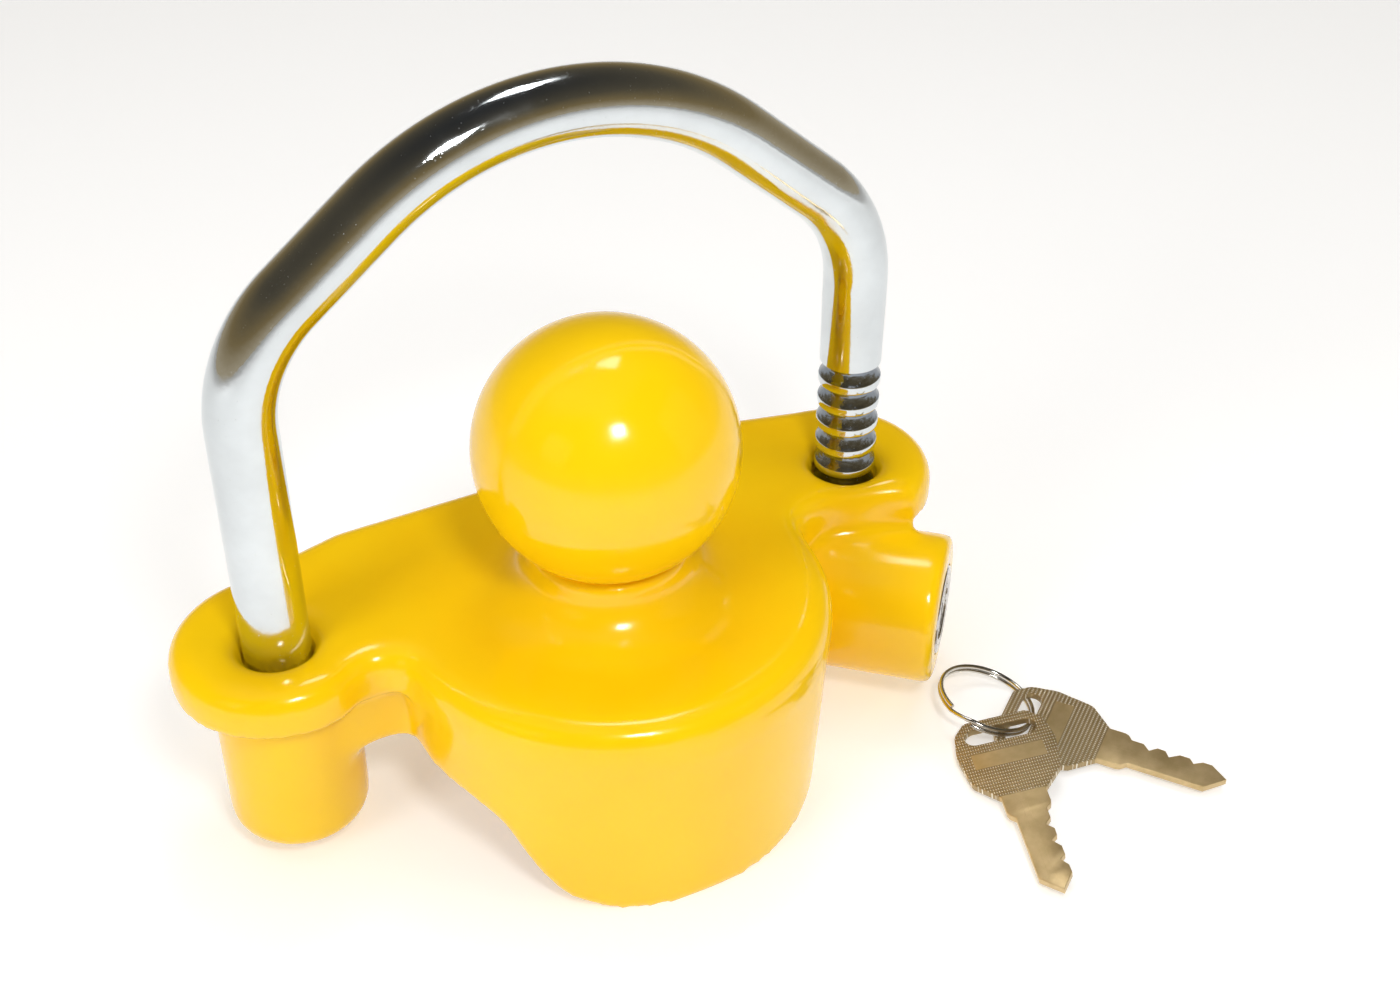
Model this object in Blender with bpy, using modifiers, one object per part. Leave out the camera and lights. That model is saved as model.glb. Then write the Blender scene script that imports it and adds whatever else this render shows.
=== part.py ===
"""Trailer coupler lock: a cast body with a ball, a notched U-shackle, a wafer cam lock and two keys.

The casting stands on the rim of its drum.  The shackle drops over a coupler and into two sockets,
and the lock pushes a bolt into one of the notches of the right leg.
"""
import math

import bmesh
import bpy
from mathutils import Matrix, Vector

MM = 0.001

# ---- driving dimensions, in millimetres, in the casting's frame: z = 0 is the table ----
LEG_X = 59.1                    # shackle leg axes at x = -LEG_X and +LEG_X, y = 0
ROD_R = 6.1                     # shackle bar
SOCKET_R = 6.5                  # bore that guides a leg
PLATE_TOP = 44.6
PLATE_THICK = 9.0
PLATE_FILLET = 4.6
EAR = (58.5, 2.3)               # centre of an ear's round end
EAR_R = 19.3
BACK_Y = 26.9
DRUM_Y = -14.5                  # drum axis
DRUM_R = 40.5
DRUM_DRAFT = 2.2                # loss of radius from the plate to the rim
WALL = 4.0
CEILING = 36.8                  # underside of the plate inside the drum
SOCKET_BOSS_R = 12.8
SOCKET_BOSS_BOTTOM = 3.6
WEB_BOTTOM = 22.2
BALL_R = 23.8                   # 1-7/8 inch ball
BALL = (0.0, -13.6, 74.6)
BALL_FLAT = 55.2                # height of the ball's seat
SEAT_R = 14.6

NOTCH_PITCH = 4.94
NOTCH_COUNT = 11
NOTCH_TOP = 68.3                # shelf of the highest notch, under the smooth part of the right leg
NOTCH_DEPTH = 1.2
LEG_END = 12.0

BEND_R = 27.7
CROWN_R = 53.0
CROWN = (-1.2, 80.5)            # x and z of the crown's centre of curvature
RIGHT_SLANT = 49.6              # degrees that the bar turns in from a leg
LEFT_SLANT = 52.2

LOCK_ANGLE = -43.0              # heading of the lock's face, from +X
LOCK_FACE = (68.0, -25.2, 20.1)
LOCK_BOSS_R = 15.0
HOUSING_R = 8.2
BEZEL_R = 9.0
PLUG_R = 6.0
BOLT_R = 3.6
BOLT_DEPTH = 23.6               # depth of the bolt's axis behind the lock's face
BOLT_TRAVEL = 1.6
BOLT_TIP = 5.7                  # bolt tip from the lock's axis, withdrawn
BOLT_TAIL = -7.0
NOSE_TOP = -1.55                # top of the bolt's nose, from the bolt's axis
BORE_END = -13.0                # blind end of the bolt's bore
ECCENTRICITY = BOLT_TRAVEL / math.sqrt(2.0)
WAFER_DEPTHS = (2.6, 4.8, 7.0, 9.2, 11.4)
WAFER_SHIFTS = (0.3, -0.4, 0.1, -0.2, 0.4)

KEY_THICK = 1.5
# place of each key's head end, then its heading, nose-up tilt and roll in degrees
KEY_1 = ((70.34, -42.74, 2.81), -19.97, 1.57, -10.49)
KEY_2 = ((73.56, -41.09, 1.47), 35.65, 0.02, -4.49)
RING_CENTRE = (71.95, -37.41, 3.74)
RING_NORMAL = (0.280, -0.084, 1.0)
RING_R = 9.78
RING_WIRE_R = 0.42
RING_END = 215.0                # where the ring's outer end lies, in degrees round it


# ---------------------------------------------------------------- scene and materials
for old in list(bpy.data.objects):
    bpy.data.objects.remove(old, do_unlink=True)


def collection(name):
    made = bpy.data.collections.new(name)
    bpy.context.scene.collection.children.link(made)
    return made


PARTS = collection("coupler_lock")
CUTTERS = collection("cutters")


def material(name, colour, roughness, metallic):
    made = bpy.data.materials.new(name)
    made.use_nodes = True
    shader = made.node_tree.nodes["Principled BSDF"]
    shader.inputs["Base Color"].default_value = (*colour, 1.0)
    shader.inputs["Roughness"].default_value = roughness
    shader.inputs["Metallic"].default_value = metallic
    made.diffuse_color = (*colour, 1.0)
    return made


YELLOW = material("yellow_paint", (0.95, 0.62, 0.02), 0.25, 0.0)
CHROME = material("chrome", (0.75, 0.75, 0.76), 0.12, 1.0)
NICKEL = material("nickel", (0.55, 0.50, 0.42), 0.35, 1.0)
STEEL = material("zinc_steel", (0.62, 0.63, 0.65), 0.4, 1.0)
BRASS = material("brass", (0.72, 0.55, 0.25), 0.35, 1.0)


# ---------------------------------------------------------------- shape helpers, all in mm
def new_object(name, bm, mat=None):
    """Make an object from a bmesh given in mm, with its faces pointing out."""
    bmesh.ops.scale(bm, vec=(MM, MM, MM), verts=bm.verts)
    bmesh.ops.recalc_face_normals(bm, faces=bm.faces)
    mesh = bpy.data.meshes.new(name)
    bm.to_mesh(mesh)
    bm.free()
    made = bpy.data.objects.new(name, mesh)
    (PARTS if mat else CUTTERS).objects.link(made)
    if mat:
        mesh.materials.append(mat)
    else:
        made.hide_render = True
        made.display_type = "WIRE"
    return made


def bake(obj):
    """Replace an object's mesh with the one that its modifiers give."""
    bpy.context.view_layer.update()
    seen = obj.evaluated_get(bpy.context.evaluated_depsgraph_get())
    mesh = bpy.data.meshes.new_from_object(seen)
    obj.modifiers.clear()
    obj.data = mesh
    return obj


def combine(target, other, operation):
    """Boolean one object with another, and drop the other."""
    modifier = target.modifiers.new("combine", "BOOLEAN")
    modifier.operation = operation
    modifier.solver = "EXACT"
    modifier.object = other
    bake(target)
    bpy.data.objects.remove(other, do_unlink=True)
    return target


def join(target, *others):
    for other in others:
        combine(target, other, "UNION")
    return target


def cut(target, *cutters):
    for cutter in cutters:
        combine(target, cutter, "DIFFERENCE")
    return target


def move(obj, matrix):
    """Move an object's mesh, with the matrix's translation given in mm."""
    scaled = matrix.copy()
    scaled.translation = matrix.translation * MM
    obj.data.transform(scaled)
    return obj


def turned(name, profile, mat=None, segments=32, ring=False):
    """Turn a profile of (radius, height) about Z.  It runs down its outer side."""
    bm = bmesh.new()
    verts = [bm.verts.new((r * MM, 0.0, z * MM)) for r, z in profile]
    last = len(verts) if ring else len(verts) - 1
    for i in range(last):
        bm.edges.new((verts[i], verts[(i + 1) % len(verts)]))
    mesh = bpy.data.meshes.new(name)
    bm.to_mesh(mesh)
    bm.free()
    made = bpy.data.objects.new(name, mesh)
    (PARTS if mat else CUTTERS).objects.link(made)
    screw = made.modifiers.new("turn", "SCREW")
    screw.steps = screw.render_steps = segments
    screw.use_merge_vertices = True
    screw.merge_threshold = 0.00001
    bake(made)
    if mat:
        made.data.materials.append(mat)
    else:
        made.hide_render = True
        made.display_type = "WIRE"
    return made


def rod(name, radius, low, high, mat=None, segments=32):
    return turned(name, [(0, high), (radius, high), (radius, low), (0, low)], mat, segments)


def box(name, low, high, mat=None):
    size = [b - a for a, b in zip(low, high)]
    middle = Vector([(a + b) / 2 for a, b in zip(low, high)])
    bm = bmesh.new()
    bmesh.ops.create_cube(bm, size=1.0, matrix=Matrix.Translation(middle) @ Matrix.Diagonal((*size, 1.0)))
    return new_object(name, bm, mat)


def slab(name, outline, low, high, mat=None):
    """A flat outline in XY, filled and given a thickness from low to high."""
    curve = bpy.data.curves.new(name, "CURVE")
    curve.dimensions = "2D"
    curve.fill_mode = "BOTH"
    curve.extrude = (high - low) / 2 * MM
    loops = outline if isinstance(outline[0], list) else [outline]
    for loop in loops:
        spline = curve.splines.new("POLY")
        spline.points.add(len(loop) - 1)
        for point, (x, y) in zip(spline.points, loop):
            point.co = (x * MM, y * MM, 0.0, 1.0)
        spline.use_cyclic_u = True
    source = bpy.data.objects.new(name + "_curve", curve)
    bpy.context.scene.collection.objects.link(source)
    bpy.context.view_layer.update()
    mesh = bpy.data.meshes.new_from_object(source.evaluated_get(bpy.context.evaluated_depsgraph_get()))
    bpy.data.objects.remove(source, do_unlink=True)
    bm = bmesh.new()
    bm.from_mesh(mesh)
    bmesh.ops.remove_doubles(bm, verts=bm.verts, dist=0.000005)
    bmesh.ops.scale(bm, vec=(1 / MM, 1 / MM, 1 / MM), verts=bm.verts)
    bmesh.ops.translate(bm, vec=(0, 0, (low + high) / 2), verts=bm.verts)
    return new_object(name, bm, mat)


def tube(name, path, radius, mat, resolution=2, widths=None):
    """A round wire or bar along a path of 3-D points, with a width factor at each if given."""
    curve = bpy.data.curves.new(name, "CURVE")
    curve.dimensions = "3D"
    curve.bevel_depth = radius * MM
    curve.bevel_resolution = resolution
    curve.use_fill_caps = True
    spline = curve.splines.new("POLY")
    spline.points.add(len(path) - 1)
    for point, place, width in zip(spline.points, path, widths or [1.0] * len(path)):
        point.co = (place[0] * MM, place[1] * MM, place[2] * MM, 1.0)
        point.radius = width
    source = bpy.data.objects.new(name + "_curve", curve)
    bpy.context.scene.collection.objects.link(source)
    bpy.context.view_layer.update()
    mesh = bpy.data.meshes.new_from_object(source.evaluated_get(bpy.context.evaluated_depsgraph_get()))
    bpy.data.objects.remove(source, do_unlink=True)
    bm = bmesh.new()
    bm.from_mesh(mesh)
    bmesh.ops.remove_doubles(bm, verts=bm.verts, dist=0.000005)
    bmesh.ops.scale(bm, vec=(1 / MM, 1 / MM, 1 / MM), verts=bm.verts)
    return new_object(name, bm, mat)


def arc(centre, radius, start, end, steps):
    """Points on an arc, with its angles in degrees."""
    points = []
    for i in range(steps + 1):
        a = math.radians(start + (end - start) * i / steps)
        points.append((centre[0] + radius * math.cos(a), centre[1] + radius * math.sin(a)))
    return points


def smooth_through(knots, steps):
    """Points on a smooth curve through the inner knots; the outer two only steer its ends."""
    points = []
    for a, b, c, d in zip(knots, knots[1:], knots[2:], knots[3:]):
        for i in range(steps):
            t = i / steps
            weights = (-t**3 + 2 * t**2 - t, 3 * t**3 - 5 * t**2 + 2, -3 * t**3 + 4 * t**2 + t, t**3 - t**2)
            points.append(tuple(sum(w * p[k] for w, p in zip(weights, (a, b, c, d))) / 2 for k in (0, 1)))
    points.append(knots[-2])
    return points


def lock_frame(depth=0.0, side=0.0, up=0.0):
    """Axes of the lock: local Z out of its face, local X towards the leg, local Y up."""
    angle = math.radians(LOCK_ANGLE)
    out = Vector((math.cos(angle), math.sin(angle), 0.0))
    across = Vector((-math.sin(angle), math.cos(angle), 0.0))
    turn = Matrix((across, Vector((0, 0, 1)), out)).transposed()
    place = Vector(LOCK_FACE) - out * depth + across * side + Vector((0, 0, up))
    return Matrix.Translation(place) @ turn.to_4x4()


def bolt_frame():
    """Axes of the bolt: local Z towards the leg, origin on the lock's axis."""
    return lock_frame(BOLT_DEPTH) @ Matrix.Rotation(math.radians(90), 4, "Y")


# ---------------------------------------------------------------- body casting
def plate_outline():
    """Outline of the top plate: two ears, a straight back, the drum's bulge and two notches."""
    right_ear = arc(EAR, EAR_R, -66, 84, 15)
    back = [(39.0, BACK_Y), (-39.0, BACK_Y)]
    left_ear = arc((-EAR[0], EAR[1]), EAR_R, 96, 286, 19)
    drum = (0.0, DRUM_Y)
    left_notch = smooth_through([(-58, -18), (-53.2, -16.3), (-49.6, -14.0), (-45.5, -13.1),
                                 (-41.9, -15.0), (-40.3, -18.6), (-39.6, -24)], 2)
    bulge = arc(drum, DRUM_R, 187, 355, 24)
    right_notch = smooth_through([(39.8, -24), (40.4, -17.4), (42.0, -12.6), (46.2, -10.2),
                                  (51.5, -10.0), (58.0, -12.0), (66.3, -15.3), (70, -13)], 2)
    return right_ear + back + left_ear + left_notch[1:-1] + bulge[1:] + right_notch[1:-1]


def fillet_top(obj, radius):
    """Round the top edge of a slab."""
    bm = bmesh.new()
    bm.from_mesh(obj.data)
    top = max(v.co.z for v in bm.verts)
    bmesh.ops.dissolve_limit(bm, angle_limit=math.radians(1), verts=bm.verts, edges=bm.edges)
    rim = [e for e in bm.edges if all(abs(v.co.z - top) < 1e-6 for v in e.verts) and e.calc_face_angle(0) > 1]
    bmesh.ops.bevel(bm, geom=rim, offset=radius * MM, segments=4, profile=0.5, affect="EDGES",
                    clamp_overlap=False)
    bm.to_mesh(obj.data)
    bm.free()
    return obj


def drum_shell():
    """The drum and the webs that carry the sockets, before they are hollowed."""
    top = CEILING + 2
    drum = turned("drum", [(0, top), (DRUM_R - 0.15, top), (DRUM_R - DRUM_DRAFT, 0), (0, 0)], segments=44)
    move(drum, Matrix.Translation((0, DRUM_Y, 0)))
    left = slab("left_web", [(-LEG_X, -11.4), (-20, -11.4), (-20, 22.0), (-LEG_X, 12.0)], WEB_BOTTOM, top - 1)
    right = slab("right_web", [(20, -9.4), (LEG_X, -9.4), (LEG_X, 12.0), (20, 22.0)], WEB_BOTTOM, top - 0.7)
    join(drum, left, right)
    # the rim sweeps up on the left, in one S-curve seen from the front
    sweep = smooth_through([(-8, 0), (-15, -0.4), (-20.1, 1.0), (-24.2, 2.9), (-27.4, 6.9), (-30.2, 12.6),
                            (-32.6, 18.0), (-36.0, 21.0), (-42, 22.0), (-50, 22.1), (-60, 22.1)], 4)
    outline = [(-15, -6)] + sweep[1:] + [(-62, 22.1), (-62, -6)]
    sweep_cut = slab("sweep_cut", outline, -70, 40)
    move(sweep_cut, Matrix.Rotation(math.radians(90), 4, "X"))
    cut(drum, sweep_cut)
    return drum


def body_casting():
    """One casting: plate, drum, sockets and lock boss, cored from below."""
    body = drum_shell()
    hollow = turned("hollow", [(0, CEILING), (DRUM_R - WALL, CEILING), (DRUM_R - WALL - 2.0, -5), (0, -5)],
                    segments=36)
    move(hollow, Matrix.Translation((0, DRUM_Y, 0)))
    cut(body, hollow)

    plate = fillet_top(slab("plate", plate_outline(), PLATE_TOP - PLATE_THICK, PLATE_TOP), PLATE_FILLET)
    join(body, plate)

    corner = 4.0
    round_foot = [(SOCKET_BOSS_R - corner + corner * math.cos(math.radians(a)),
                   SOCKET_BOSS_BOTTOM + corner + corner * math.sin(math.radians(a)))
                  for a in (0, -30, -60, -90)]
    for side in (-1, 1):
        boss = turned("socket_boss", [(0, CEILING + 3), (SOCKET_BOSS_R, CEILING + 3)] + round_foot
                      + [(0, SOCKET_BOSS_BOTTOM)], segments=28)
        move(boss, Matrix.Translation((side * LEG_X, 0, 0)))
        join(body, boss)

    edge = 1.3
    lock_boss = turned("lock_boss", [(0, 0), (LOCK_BOSS_R - edge, 0), (LOCK_BOSS_R - 0.38, -0.38),
                                     (LOCK_BOSS_R, -edge), (LOCK_BOSS_R, -31), (0, -31)], segments=32)
    move(lock_boss, lock_frame())
    join(body, lock_boss)

    mound = turned("mound", [(0, BALL_FLAT - 0.3), (SEAT_R - 0.8, BALL_FLAT - 0.3), (SEAT_R, BALL_FLAT - 1.1)]
                   + [(SEAT_R + 12 * (1 - math.cos(math.radians(a))),
                       PLATE_TOP + 8.6 * (1 - math.sin(math.radians(a)))) for a in (12, 32, 52, 72, 84)]
                   + [(SEAT_R + 11.6, PLATE_TOP - 0.5), (0, PLATE_TOP - 0.5)], segments=32)
    move(mound, Matrix.Translation((BALL[0], BALL[1], 0)))
    post = rod("post", 11.0, 22.0, CEILING + 2, segments=32)
    move(post, Matrix.Translation((BALL[0], BALL[1], 0)))
    join(body, mound, post)

    cut(body, *body_bores())
    body.name = "body_casting"
    CUTTERS.objects.unlink(body)
    PARTS.objects.link(body)
    body.hide_render = False
    body.display_type = "TEXTURED"
    body.data.materials.append(YELLOW)
    return body


def body_bores():
    """Everything drilled or cored into the casting."""
    lip = 3.8
    flare = [(SOCKET_R + lip - lip * math.cos(math.radians(a)), PLATE_TOP - lip + lip * math.sin(math.radians(a)))
             for a in (78, 52, 26, 0)]
    cutters = []
    for side in (-1, 1):
        bore = turned("socket_bore", [(0, PLATE_TOP + 1), (SOCKET_R + lip + 2.4, PLATE_TOP + 1)] + flare
                      + [(SOCKET_R, 0), (0, 0)], segments=24)
        cutters.append(move(bore, Matrix.Translation((side * LEG_X, 0, 0))))
    screw_bore = rod("screw_bore", 6.4, 10, 60, segments=28)
    cutters.append(move(screw_bore, Matrix.Translation((BALL[0], BALL[1], 0))))

    lock_bore = turned("lock_bore", [(0, 3), (BEZEL_R + 0.3, 3), (BEZEL_R + 0.3, -1.5), (HOUSING_R + 0.3, -1.5),
                                     (HOUSING_R + 0.3, -16.9), (3.6, -16.9), (3.6, -23.4), (0, -23.4)],
                       segments=28)
    cutters.append(move(lock_bore, lock_frame()))
    bolt_bore = rod("bolt_bore", BOLT_R + 0.3, BORE_END, 30, segments=20)
    cutters.append(move(bolt_bore, bolt_frame()))
    pin_bore = rod("pin_bore", 1.8, -5, 14, segments=16)
    pin_at = lock_frame(8.0).translation
    cutters.append(move(pin_bore, Matrix.Translation((pin_at.x, pin_at.y, 0))))
    return cutters


# ---------------------------------------------------------------- ball and its fastening
def hitch_ball():
    """A ball with a flat seat and a blind hole for its screw."""
    height = BALL_FLAT - BALL[2]
    start = math.degrees(math.asin(height / BALL_R))
    profile = [(BALL_R * math.cos(math.radians(a)), BALL_R * math.sin(math.radians(a)))
               for a in [90 + (start - 90) * i / 14 for i in range(15)]]
    profile[0] = (0, BALL_R)
    ball = turned("hitch_ball", profile + [(0, height)], YELLOW, segments=28)
    move(ball, Matrix.Translation(BALL))
    hole = rod("ball_hole", 6.3, 50, 81, segments=28)
    cut(ball, move(hole, Matrix.Translation((BALL[0], BALL[1], 0))))


def ball_fastening():
    """Cap screw, flat washer and spring washer, put in from under the drum."""
    at = Matrix.Translation((BALL[0], BALL[1], 0))
    screw = turned("ball_screw", [(0, 79.5), (5.2, 79.5), (6.0, 78.7), (6.0, 16.6), (9.0, 16.6), (9.0, 5.6),
                                  (8.4, 5.0), (0, 5.0)], STEEL, segments=24)
    socket = turned("hex_socket", [(0, 11), (5.8, 11), (5.8, 3), (0, 3)], segments=6)
    cut(screw, socket)
    move(screw, at)
    washer = turned("ball_washer", [(6.5, 21.7), (12.0, 21.7), (12.0, 19.5), (6.5, 19.5)], STEEL, segments=24, ring=True)
    move(washer, at)
    spring = turned("ball_spring_washer", [(6.4, 19.2), (10.4, 19.2), (10.4, 16.9), (6.4, 16.9)], STEEL,
                    segments=24, ring=True)
    gap = box("washer_gap", (4, -0.5, 15), (12, 0.5, 21))
    cut(spring, move(gap, Matrix.Rotation(math.radians(20), 4, "Y")))
    move(spring, at)


# ---------------------------------------------------------------- shackle
def shackle_side(sign, slant):
    """Half of the bar's path in x and z, from the crown's top down to a leg's end."""
    phi = math.radians(slant)
    crown_x, crown_z = CROWN
    points = arc((0, 0), CROWN_R, 90, slant, 10)
    half = [(sign * crown_x + x, crown_z + y) for x, y in points]
    slant_length = (LEG_X - BEND_R * (1 - math.cos(phi)) - half[-1][0]) / math.sin(phi)
    bend_z = half[-1][1] - slant_length * math.cos(phi) - BEND_R * math.sin(phi)
    half += arc((LEG_X - BEND_R, bend_z), BEND_R, slant, 0, 9)
    half.append((LEG_X, LEG_END))
    return [(sign * x, z) for x, z in half]


def shackle():
    """A bent bar with ring notches on the lower part of its right leg."""
    left = shackle_side(-1, LEFT_SLANT)
    right = shackle_side(1, RIGHT_SLANT)
    path = list(reversed(left)) + right[1:-1]
    widths = [1.0] * len(path)
    floor = 1 - NOTCH_DEPTH / ROD_R
    for i in range(NOTCH_COUNT):
        top = NOTCH_TOP - i * NOTCH_PITCH
        for drop, width in ((0, 1.0), (0.35, floor), (1.15, floor), (3.28, 1.0)):
            path.append((LEG_X, top - drop))
            widths.append(width)
    path += [(LEG_X, LEG_END + 1.2), (LEG_X, LEG_END)]
    widths += [1.0, floor]
    path = [(-LEG_X, LEG_END), (-LEG_X, LEG_END + 1.2)] + path[1:]
    widths = [floor, 1.0] + widths[1:]
    tube("shackle", [(x, 0.0, z) for x, z in path], ROD_R, CHROME, resolution=8, widths=widths)


# ---------------------------------------------------------------- lock
def lock_housing():
    """Chromed sleeve with a stepped bezel, wafer grooves and a hole for its fixing pin."""
    sleeve = turned("lock_housing", [(6.3, 0.0), (6.9, 0.3), (8.5, 0.3), (BEZEL_R, -0.1), (BEZEL_R, -1.2),
                                     (HOUSING_R, -1.2), (HOUSING_R, -13.2), (6.3, -13.2)],
                    CHROME, segments=28, ring=True)
    groove = box("wafer_groove", (-2.9, -7.3, -13.4), (2.9, 7.3, -1.9))
    pin_hole = rod("pin_hole", 1.8, -12, -6.5, segments=16)
    move(pin_hole, Matrix.Translation((0, 0, -8)) @ Matrix.Rotation(math.radians(-90), 4, "X"))
    cut(sleeve, groove, pin_hole)
    return move(sleeve, lock_frame())


def lock_plug():
    """Plug with a keyway, five wafer slots and a square tail."""
    plug = turned("lock_plug", [(0, -0.1), (5.6, -0.1), (PLUG_R, -0.5), (PLUG_R, -13.5), (0, -13.5)],
                  CHROME, segments=28)
    tail = box("tail", (-1.9, -1.9, -15.8), (1.9, 1.9, -13))
    join(plug, tail)
    keyway = box("keyway", (-1.3, -4.4, -12.8), (1.3, 4.4, 1))
    slots = [box("wafer_slot", (-2.7, -8, -d - 0.65), (2.7, 8, -d + 0.65)) for d in WAFER_DEPTHS]
    cut(plug, keyway, *slots)
    move(plug, lock_frame())


def wafers():
    """Five flat wafers with a window for the key, and the small springs beside them."""
    for number, (depth, shift) in enumerate(zip(WAFER_DEPTHS, WAFER_SHIFTS), 1):
        wafer = box(f"wafer_{number}", (-2.35, -5.1, -depth - 0.35), (2.35, 5.1, -depth + 0.35), BRASS)
        window = box("window", (-1.3, -3.2 + shift, -20), (1.3, 3.6 + shift, 1))
        cut(wafer, window)
        move(wafer, lock_frame())


def drive_cam():
    """Disc on the plug's tail with an off-centre stub that moves the bolt."""
    disc = rod("drive_cam", 5.2, -16.1, -14.7, STEEL, segments=24)
    hole = box("square_hole", (-2.2, -2.2, -17), (2.2, 2.2, -14))
    stub = rod("stub", 2.0, -23.0, -15.8, segments=16)
    across = -ECCENTRICITY * math.sin(math.radians(45))
    above = ECCENTRICITY * math.cos(math.radians(45))
    move(stub, Matrix.Translation((across, above, 0)))
    web = rod("cam_web", 3.4, -16.9, -16.05, segments=20)
    cut(disc, hole)
    join(disc, web, stub)
    move(disc, lock_frame())
    clip = turned("plug_clip", [(2.9, -13.75), (4.6, -13.75), (4.6, -14.4), (2.9, -14.4)], STEEL, segments=20, ring=True)
    mouth = box("clip_mouth", (-1.6, -6, -15), (1.6, -1, -13))
    cut(clip, mouth)
    move(clip, lock_frame())


def lock_bolt():
    """Round bolt with a wedge nose that fits a notch, and a slot for the cam's stub."""
    bolt = turned("lock_bolt", [(0, BOLT_TIP), (BOLT_R, BOLT_TIP), (BOLT_R, BOLT_TAIL + 0.6),
                                (BOLT_R - 0.6, BOLT_TAIL), (0, BOLT_TAIL)], STEEL, segments=24)
    tip, back = BOLT_TIP, BOLT_TIP - 1.6
    side_on = bolt_frame() @ Matrix.Rotation(math.radians(-90), 4, "Y")
    above = slab("above_nose", [(tip + 1, NOSE_TOP), (tip + 1, 5), (back, 5), (back, NOSE_TOP)], -5, 5)
    low = NOSE_TOP - 1.05
    below = slab("below_nose", [(tip + 1, low), (tip, low), (back, -3.5), (back, -5), (tip + 1, -5)], -5, 5)
    clear = 0.45
    slot = box("cam_slot", (-5, -4.5, -2.0 - clear - 0.8), (-0.2, 4.5, 2.0 + clear - 0.8))
    move(bolt, bolt_frame())
    move(slot, bolt_frame())
    move(above, side_on)
    move(below, side_on)
    cut(bolt, above, below, slot)


def bolt_spring():
    """Compression spring behind the bolt, and the screw that closes its bore behind the socket."""
    turns, radius, wire, steps = 4, 2.5, 0.4, 10
    low, high = BORE_END + 0.7, BOLT_TAIL - 0.7
    path = []
    for i in range(turns * steps + 1):
        a = 2 * math.pi * i / steps
        path.append((radius * math.cos(a), radius * math.sin(a), low + (high - low) * i / (turns * steps)))
    spring = tube("bolt_spring", path, wire, STEEL, resolution=1)
    move(spring, bolt_frame())
    screw = turned("bore_screw", [(0, 24.4), (3.6, 24.4), (3.6, 20.4), (3.1, 19.9), (0, 19.9)], STEEL, segments=20)
    slot = box("screw_slot", (-4, -0.5, 23.2), (4, 0.5, 26))
    cut(screw, slot)
    move(screw, bolt_frame())


def housing_pin():
    """Pin driven up from under the boss into the housing."""
    at = lock_frame(8.0).translation
    pin = turned("housing_pin", [(0, 13.2), (1.2, 13.2), (1.5, 12.9), (1.5, 6.3), (1.2, 6.0), (0, 6.0)], STEEL,
                 segments=20)
    move(pin, Matrix.Translation((at.x, at.y, 0)))


# ---------------------------------------------------------------- keys and ring
def key_outline():
    """Key seen from above: head at the top, blade down -Y, bitting on its +X edge."""
    head = [(-4.3, -20.6), (-8.9, -15.6), (-9.9, -8.0), (-9.0, -3.0), (-6.2, 0.0), (6.2, 0.0), (9.0, -3.0),
            (9.9, -8.0), (8.9, -15.6), (4.3, -20.6)]
    bitting = [(4.3, -24.0), (3.1, -25.6), (3.1, -28.0), (1.8, -29.4), (3.1, -30.8), (3.0, -32.4), (1.7, -33.4),
               (3.1, -35.2), (3.1, -37.2), (2.0, -38.2), (3.1, -39.8), (3.1, -41.6)]
    tip = [(0.6, -45.0), (-3.1, -41.4)]
    back = [(-3.1, -26.6), (-4.3, -25.4)]
    return head + bitting + tip + back


def make_key(name, spec):
    """A key lying from its head end towards its tip."""
    head, heading, tilt, roll = spec
    slot = ([(x - 5.2, y - 4.3) for x, y in arc((0, 0), 2.0, 90, 270, 6)]
            + [(x + 5.2, y - 4.3) for x, y in arc((0, 0), 2.0, -90, 90, 6)])
    key = slab(name, [key_outline(), slot], 0, KEY_THICK, NICKEL)
    turn = (Matrix.Rotation(math.radians(heading), 4, "Z") @ Matrix.Rotation(math.radians(tilt), 4, "X")
            @ Matrix.Rotation(math.radians(roll), 4, "Y"))
    move(key, Matrix.Translation(head) @ turn)


def key_ring():
    """Split ring: one turn of wire on another, with a short crossing where its ends meet."""
    lean = Vector((0, 0, 1)).rotation_difference(Vector(RING_NORMAL)).to_matrix().to_4x4()
    lift = RING_WIRE_R + 0.03
    crossing = 30
    path = []
    for i in range(0, 720 - crossing + 1, 15):
        a = math.radians(i + RING_END)
        height = lift * max(-1.0, min(1.0, (i - 360 + crossing / 2) / (crossing / 2)))
        path.append(Vector((RING_R * math.cos(a), RING_R * math.sin(a), height)))
    place = Matrix.Translation(RING_CENTRE) @ lean
    tube("key_ring", [place @ p for p in path], RING_WIRE_R, STEEL, resolution=1)


# ---------------------------------------------------------------- assembly
def centre_on_base():
    """Shift every part so that the origin is the centre of the base of their common box."""
    bpy.context.view_layer.update()
    corners = [v.co for part in PARTS.objects for v in part.data.vertices]
    low = [min(c[k] for c in corners) for k in range(3)]
    high = [max(c[k] for c in corners) for k in range(3)]
    shift = Vector((-(low[0] + high[0]) / 2, -(low[1] + high[1]) / 2, -low[2]))
    for part in PARTS.objects:
        part.data.transform(Matrix.Translation(shift))
    return shift


body_casting()
hitch_ball()
ball_fastening()
shackle()
lock_housing()
lock_plug()
wafers()
drive_cam()
lock_bolt()
bolt_spring()
housing_pin()
make_key("key_1", KEY_1)
make_key("key_2", KEY_2)
key_ring()
centre_on_base()
for part in PARTS.objects:
    part.data.shade_smooth()
    part.data.set_sharp_from_angle(angle=math.radians(35))
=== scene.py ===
import math

import bpy
from mathutils import Matrix, Vector


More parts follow.
